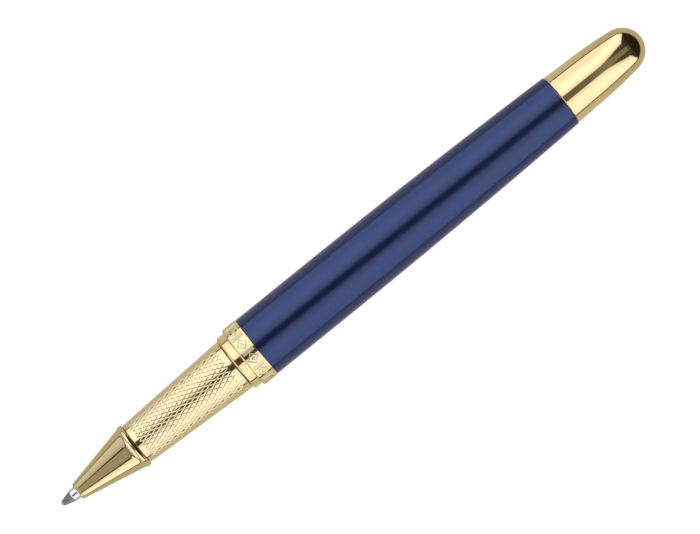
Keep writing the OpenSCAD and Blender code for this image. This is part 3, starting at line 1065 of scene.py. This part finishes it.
@dataclass
class Refill:
    """The refill, from its writing ball to its rear plug."""

    tube_wall: float = 0.28
    wick_bore: float = 0.62
    ball_play: float = 0.02
    shank_end: float = 9.0
    cone_end: float = 2.35
    fit: float = 0.01

    def writing_ball(self) -> None:
        """The hard ball that rolls in the point."""
        start, end, _ = packed("writing_ball")
        size = (end - start) / 2
        outline = [(size * math.sin(a), start + size - size * math.cos(a)) for a in np.linspace(0, math.pi, 33)]
        outline[0], outline[-1] = (0.0, start), (0.0, end)
        Shell().revolve(outline, 64, closed=False).piece("writing_ball", "ball", Slot.CARBIDE, 60.0)

    def ball_point(self) -> None:
        """The steel point: spun lip over the ball, satin cone, shoulder and bright shank."""
        start, end, shank = packed("ball_point")
        low, high, _ = packed("writing_ball")
        ball, segments = (high - low) / 2, 128
        socket, rim, throat = ball + self.ball_play, ball + 0.09, 0.2
        foot, top = (rim + 0.1, start + 0.25), (shank - 0.12, self.cone_end - 0.13)
        outline = [(rim - 0.03, start), (rim, start + 0.03), foot]
        outline += [tuple(np.array(foot) * (1 - t) + np.array(top) * t) for t in np.linspace(0, 1, 12)[1:]]
        outline += [(shank - 0.06, self.cone_end - 0.05), (shank, self.cone_end + 0.03)]
        outline += [(shank, x) for x in np.linspace(self.cone_end + 0.5, end - 0.1, 12)]
        outline += [(shank - 0.1, end), (self.wick_bore, end), (self.wick_bore, 1.7), (throat, 1.5)]
        deepest, mouth = math.degrees(math.acos(throat / socket)), math.degrees(math.asin((ball - start) / socket))
        outline = braced(outline + arc((0.0, ball), socket, deepest, -mouth, 15))
        radius, station = np.array(outline).T
        satin = (radius > rim) & (station > start + 0.01) & (station < self.cone_end - 0.1)
        shell = Shell().revolve(outline, segments, np.repeat(satin[:, None].astype(float), segments, 1))
        shell.piece("ball_point", "refill", Slot.POLISHED_STEEL, 20.0)

    def refill_nose(self) -> None:
        """The moulded holder of the point, with shallow rings to grip the tube and a shoulder to seat on."""
        start, end, outer = packed("refill_nose")
        tube, shank = packed("refill_tube").start, packed("ball_point").outer + self.fit
        front, seat, spigot = outer - 0.45, tube - 1.0, outer - self.tube_wall - self.fit
        corners = [
            (shank, start), (1.6, start), (1.75, start + 0.2), (front, seat - 0.1), (front, seat),
            (outer, seat), (outer, tube), (spigot, tube),
        ]
        corners += notches(spigot, (tube + 1.2, tube + 2.5), 0.1, 0.1, 0.5)
        corners += [
            (spigot, end), (self.wick_bore, end), (self.wick_bore, self.shank_end + 0.05),
            (shank, self.shank_end + 0.05),
        ]
        Shell().revolve(stretched(eased(corners, 0.06), 1.0)).piece("refill_nose", "refill", Slot.BLACK_PLASTIC)

    def refill_tube(self) -> None:
        """The steel tube, with two crimps at its front and one at its rear."""
        start, end, outer = packed("refill_tube")
        inner = outer - self.tube_wall
        crimps = notches(outer, (start + 1.3, start + 2.6, end - 1.6), 0.07, 0.14, 0.4)
        corners = [(inner, start), (outer, start)] + crimps + [(outer, end), (inner, end)]
        Shell().revolve(stretched(eased(corners, 0.05), 2.5), 160).piece("refill_tube", "refill", Slot.REFILL_STEEL)

    def ink_reservoir(self) -> None:
        """The fibre rod that holds the ink, with the pocket that the wick enters."""
        start, end, outer = packed("ink_reservoir")
        pocket, hole = start + 6.0, 0.61
        corners = [(hole, start), (outer, start), (outer, end), (0.0, end), (0.0, pocket), (hole, pocket)]
        outline = stretched(eased(corners, 0.2, 4), 1.5)
        Shell().revolve(outline, 96).piece("ink_reservoir", "refill", Slot.INKED_FIBRE)

    def feed_wick(self) -> None:
        """The thin fibre wick, cut to a point at the ball's end."""
        start, end, outer = packed("feed_wick")
        corners = [
            (0.0, start), (outer * 0.55, start), (outer, start + 0.5), (outer, end - 0.3),
            (outer * 0.7, end), (0.0, end),
        ]
        outline = stretched(corners, 0.8)[:-1] + [(0.0, end)]
        Shell().revolve(outline, 48, closed=False).piece("feed_wick", "refill", Slot.WICK_FIBRE)

    def refill_end_plug(self) -> None:
        """The rear plug: flange, vented stub and the spigot in the tube."""
        start, end, outer = packed("refill_end_plug")
        tube_end, vent, stub, flange = packed("refill_tube").end, 0.35, 1.75, 1.5
        spigot, back = outer - self.tube_wall - self.fit, tube_end + flange
        corners = [
            (vent, start), (spigot, start), (spigot, tube_end), (outer, tube_end), (outer, back - 0.15),
            (outer - 0.15, back), (stub, back), (stub, end - 0.3), (stub - 0.3, end), (vent, end),
        ]
        Shell().revolve(stretched(eased(corners, 0.06), 1.0)).piece("refill_end_plug", "refill", Slot.GREY_PLASTIC)

    def build(self) -> None:
        """Makes the refill's pieces."""
        self.writing_ball()
        self.ball_point()
        self.refill_nose()
        self.refill_tube()
        self.ink_reservoir()
        self.feed_wick()
        self.refill_end_plug()


# ---- The studio ----


@dataclass(frozen=True)
class Tent:
    """A light tent: two white panels, a dark slot between them along the pen, dark ends and a pale table.

    Directions are unit vectors.

    Args:
        panel: brightness of the panels at their edges.
        bow: how much brighter they are half-way down.
        slot: brightness straight overhead.
        table: brightness of the table as the pen mirrors it.
        dark: brightness of the gaps.
        near_gain: how much brighter the left panel is.
        near_loss: how much it loses towards the tip.
        slot_half: half the slot's width overhead.
        slot_widening: what is added to it towards the dome.
        spread_front: how fast the slot widens towards the tip.
        spread_back: how fast it widens towards the dome.
        drift: how far the slot bends aside towards the tip.
        lean_back: how far it stands aside at the dome.
        skyline: height at which the table starts.
        seam: thickness of the dark seam above it.
        backdrop: brightness of the far backdrop.
        cool: light of the panels.
        warm: light of everything else.
    """

    panel: float = 1.0
    bow: float = 0.33
    slot: float = 0.05
    table: float = 0.64
    dark: float = 0.02
    near_gain: float = 0.08
    near_loss: float = 0.56
    slot_half: float = 0.215
    slot_widening: float = 0.02
    spread_front: float = 1.3
    spread_back: float = 0.75
    drift: float = 0.17
    lean_back: float = 0.1
    skyline: float = -0.17
    seam: float = 0.09
    backdrop: float = 1.1
    cool: Colour = (0.97, 1.0, 1.06)
    warm: Colour = (1.0, 0.95, 0.81)

    def hang(self) -> None:
        """Builds the tent as the world's light."""
        world = bpy.data.worlds.new("light_tent")
        world.use_nodes = True
        bpy.context.scene.world = world
        bench = Bench(world.node_tree)
        x, y, z = bench.split(bench.node("ShaderNodeTexCoord", out="Generated"))
        front, back = -x, x
        # How far a direction lies past the slot's edge, which opens towards the tip and flares at the dome.
        lean = y + front.most(0.0) * self.drift + back.rise(0.0, 0.1) * self.lean_back
        slot = self.slot_half + back.rise(0.0, 0.05) * self.slot_widening
        flare = back.rise(0.2, 0.39) * 0.47 + self.spread_back * (back - 0.37).most(0.0)
        spread = (front * self.spread_front).least(0.3 + front * 0.6)
        inner = abs(lean) - (slot.most(spread) + flare)
        on_panel = inner.rise(-0.012, 0.012)
        # The panels: brightest half-way down, the left one dimmer towards the tip.
        bow = inner.rise(0.0, 0.42) - inner.rise(0.55, 0.8) * 0.9
        near = (y > 0) * (self.near_gain - front.rise(0.19, 0.32) * self.near_loss)
        lit = (self.panel + self.bow * bow) * (1.0 + near)
        # Dark lines where the slot meets the panels, and the slot's own faint light.
        rim = 1.0 - abs(inner + 0.07).rise(0.045, 0.075)
        rim = rim * front.rise(0.15, 0.35) * (1.0 - front.rise(0.8, 0.9))
        rim = rim + abs(lean).rise(0.14, 0.24) * back.rise(0.22, 0.3) * 0.8
        glow = self.slot + back.rise(0.05, 0.22) * 0.17 - back.rise(0.25, 0.6) * 0.15
        glow = glow + front.rise(0.2, 0.5) * 0.31 + front.rise(0.52, 0.88) * 0.8
        between = glow * (1.0 - rim * 0.95) * (1.0 - back.rise(0.62, 0.68)) + self.dark
        above = on_panel * lit + (1.0 - on_panel) * between
        # The dark seam over the table, and the table.
        clear = z.rise(self.skyline + self.seam, self.skyline + self.seam + 0.02)
        above = above * clear + (1.0 - clear) * (self.dark + 0.03)
        on_table = 1.0 - z.rise(self.skyline - 0.01, self.skyline + 0.01)
        light = above * (1.0 - on_table) + on_table * (1.0 - abs(x).rise(0.06, 0.18) * 0.2) * self.table
        plain = on_panel.most(front.rise(0.5, 0.8)) * (1.0 - on_table)
        seen = bench.node("ShaderNodeLightPath", out="Is Camera Ray")
        tint = bench.blend(seen, bench.blend(plain, self.warm, self.cool), (1.0, 1.0, 1.0))
        inputs = {"Color": tint, "Strength": light * (1.0 - seen) + seen * self.backdrop}
        bench.node("ShaderNodeOutputWorld", inputs={"Surface": bench.node("ShaderNodeBackground", inputs=inputs)})


@dataclass(frozen=True)
class Table:
    """The plain pale table, whose own glow keeps the pen's shadow soft."""

    half: float = 3.0
    colour: Colour = (0.42, 0.42, 0.42)
    glow: float = 0.87

    def lay(self) -> None:
        """Makes the table."""
        mesh = bpy.data.meshes.new("table")
        h = self.half
        mesh.from_pydata([(-h, -h, 0), (h, -h, 0), (h, h, 0), (-h, h, 0)], [], [(0, 1, 2, 3)])
        made = stand("table", mesh)
        paper = bpy.data.materials.new("pale_table")
        paper.use_nodes = True
        bench = Bench(paper.node_tree)
        grain = bench.noise(bench.node("ShaderNodeTexCoord", out="Object"), 900.0, 2.0, 0.5)
        shader = bench.principled(
            Base_Color=bench.blend(grain.rise(0.3, 0.7, 0.04), self.colour, toned(self.colour, 0.9)),
            Roughness=0.9, Specular_IOR_Level=0.1, Emission_Color=(1.0, 1.0, 1.0), Emission_Strength=self.glow,
        )
        bench.node("ShaderNodeOutputMaterial", inputs={"Surface": shader})
        mesh.materials.append(paper)
        made.visible_glossy = False


@dataclass(frozen=True)
class Camera:
    """The camera over the pen. Lens and sensor are in millimetres, roll in degrees, the rest in metres."""

    lens: float = 200.0
    sensor: float = 36.0
    view_width: float = 0.12227
    roll: float = 38.99
    aside: tuple[float, float] = (0.00021, -0.00057)

    def place(self) -> None:
        """Makes the camera and hands it to the scene."""
        data = bpy.data.cameras.new("camera")
        data.lens, data.sensor_width = self.lens, self.sensor
        data.clip_start, data.clip_end = 0.01, 20.0
        made = stand("camera", data)
        turn = Matrix.Rotation(math.radians(-self.roll), 4, "Z")
        low, high = CAD_BOX
        distance = self.view_width * self.lens / self.sensor
        middle = Vector(((low.x + high.x) / 2, (low.y + high.y) / 2, AXIS.height * MM + distance))
        offset = turn @ Vector((-self.aside[0], -self.aside[1], 0.0))
        made.matrix_world = Matrix.Translation(middle + offset) @ turn
        bpy.context.scene.camera = made


def main() -> None:
    """Builds the pen, then the studio round it."""
    logging.basicConfig(level=logging.INFO, format="%(name)s: %(message)s")
    thread = Thread()
    Section(thread).build()
    Barrel(thread).build()
    Refill().build()
    Tent().hang()
    Table().lay()
    Camera().place()
    bpy.context.scene.view_settings.view_transform = "Standard"
    log.info("all pieces made")


if __name__ == "__main__":
    main()
